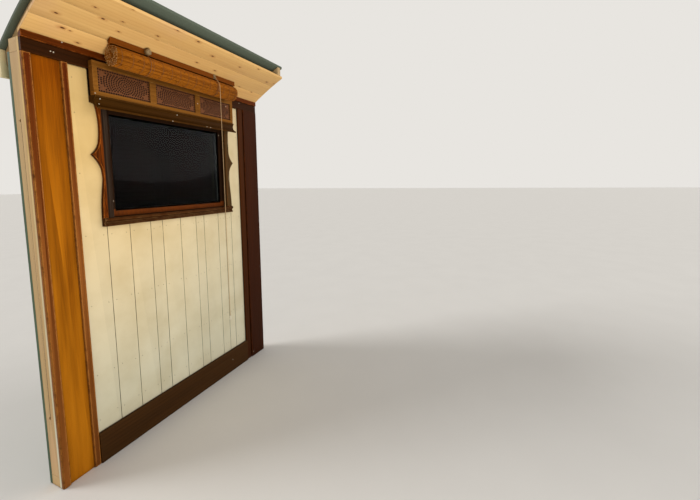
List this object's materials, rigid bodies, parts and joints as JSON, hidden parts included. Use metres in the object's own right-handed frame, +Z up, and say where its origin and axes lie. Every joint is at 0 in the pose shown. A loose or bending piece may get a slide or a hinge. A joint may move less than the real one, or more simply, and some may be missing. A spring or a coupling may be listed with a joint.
{
  "type": "wagon side-wall window bay",
  "caption": "Bay of a living wagon's wooden side wall: window in a wavy carved surround, pierced pelmet, rolled bamboo blind with pull cord, louvred shutters outside.",
  "frame": {"origin": "under the sole rail, on the window's centre line, in the middle of the timber frame's thickness", "axes": "+X along the wagon, to the right as seen from inside, +Y out of the wagon, +Z up"},
  "size_m": [1.32, 0.405, 2.0369],
  "materials": {
    "cream_paint": "painted, satin",
    "mahogany": "dark varnish, gloss",
    "red_brown": "worn varnish, gloss",
    "golden_brown": "varnished, satin",
    "surround_brown": "varnished, gloss",
    "pelmet_brown": "varnished, satin",
    "fret_brown": "pierced, satin",
    "dark_backing": "stained, matt",
    "pine": "oiled, satin",
    "bare_timber": "sawn, matt",
    "bamboo": "split matchsticks",
    "glass": "clear sealed pane",
    "spacer_metal": "mill finish",
    "clip_metal": "plated",
    "cord_white": "twisted cotton",
    "acorn_white": "gloss",
    "wall_green": "painted, weathered",
    "trim_cream": "painted, satin",
    "shutter_red": "painted, satin",
    "iron": "black paint",
    "roof_canvas": "painted canvas over boards"
  },
  "bodies": {
    "wall": {"sole_rail": "bare_timber", "post_left": "bare_timber", "post_right": "bare_timber", "wall_plate": "bare_timber", "inner_boards": "cream_paint", "outer_boards": "wall_green", "skirting": "mahogany", "cover_strips_left": "red_brown", "casing_left": "golden_brown", "cover_strip_right": "red_brown", "casing_right": "mahogany", "eaves_board": "mahogany", "eaves_strip": "red_brown", "roof_bow_left": "bare_timber", "roof_bow_right": "bare_timber", "ceiling_boards": "pine", "roof_deck": "roof_canvas", "eaves_fascia": "trim_cream", "window_lining": "mahogany", "sash_frame": "mahogany", "glass_panes": "glass", "glass_spacer": "spacer_metal", "surround_left": "surround_brown", "surround_right": "surround_brown", "surround_head": "surround_brown", "sill_moulding": "surround_brown", "pelmet_backboard": "dark_backing", "pelmet_frame": "pelmet_brown", "fret_panel_left": "fret_brown", "fret_panel_middle": "fret_brown", "fret_panel_right": "fret_brown", "pelmet_moulding": "pelmet_brown", "blind_batten": "red_brown", "blind_roll": "bamboo", "blind_clips": "clip_metal", "lift_loops": "cord_white", "pull_cord": "cord_white", "cord_acorn": "acorn_white", "outer_casing": "trim_cream", "outer_sill": "trim_cream", "drip_mould": "trim_cream", "pintles_left": "iron", "pintles_right": "iron"},
    "shutter_left": {"shutter_left_frame": "shutter_red", "shutter_left_louvres": "shutter_red", "shutter_left_straps": "iron"},
    "shutter_right": {"shutter_right_frame": "shutter_red", "shutter_right_louvres": "shutter_red", "shutter_right_straps": "iron"}
  },
  "joints": [
    {"name": "shutter_left_hinge", "type": "hinge", "parent": "wall", "child": "shutter_left", "pos_m": [-0.416, 0.0885, 1.355], "axis": [0, 0, 1], "range_deg": [0, 175]},
    {"name": "shutter_right_hinge", "type": "hinge", "parent": "wall", "child": "shutter_right", "pos_m": [0.416, 0.0885, 1.355], "axis": [0, 0, -1], "range_deg": [0, 175]}
  ]
}
